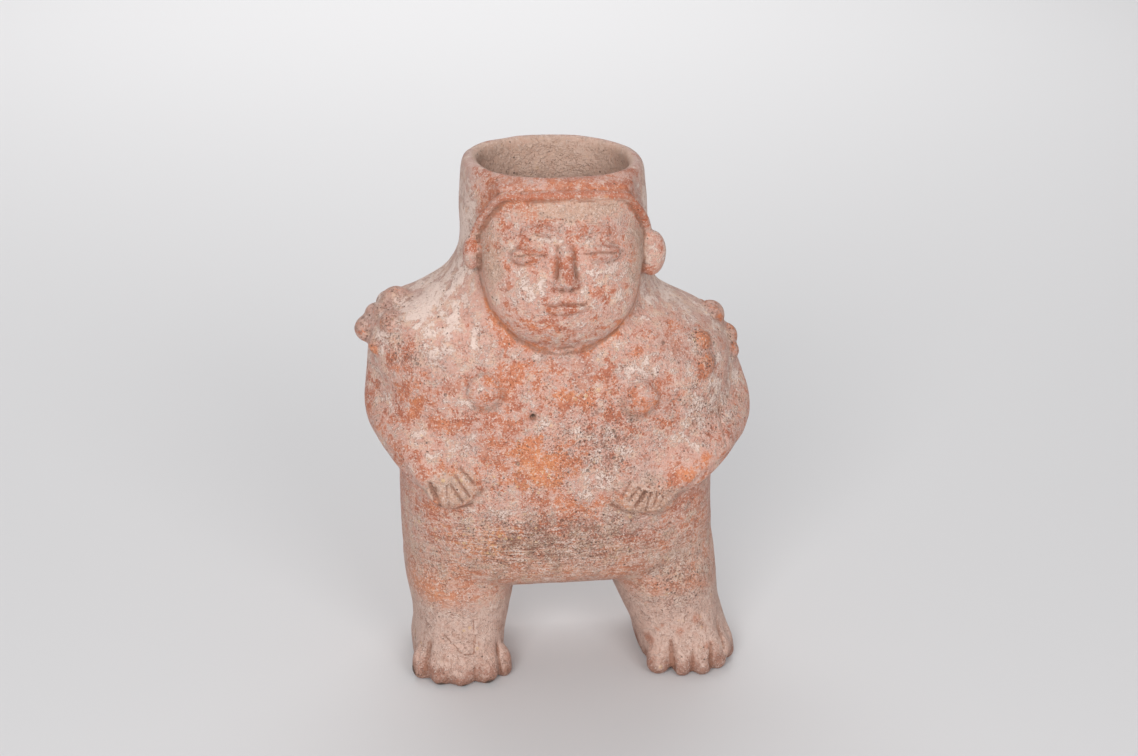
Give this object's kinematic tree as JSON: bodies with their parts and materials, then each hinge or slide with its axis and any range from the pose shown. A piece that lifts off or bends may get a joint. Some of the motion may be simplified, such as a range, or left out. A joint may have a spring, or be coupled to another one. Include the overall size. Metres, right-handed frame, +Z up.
{
  "type": "terracotta figure jar",
  "caption": "Standing hand-built clay figure with hands on its belly, short legs and studded shoulders; hollow, with the open top of the head as the jar's mouth.",
  "frame": {"origin": "on the floor, under the middle of the figure's outline", "axes": "+Z up, the figure faces -Y, its own right hand is at -X"},
  "size_m": [0.2144, 0.1204, 0.29],
  "materials": {
    "terracotta": "burnished red slip, worn and clouded with pale deposits"
  },
  "bodies": {
    "root": {"figure": "terracotta"}
  },
  "joints": []
}
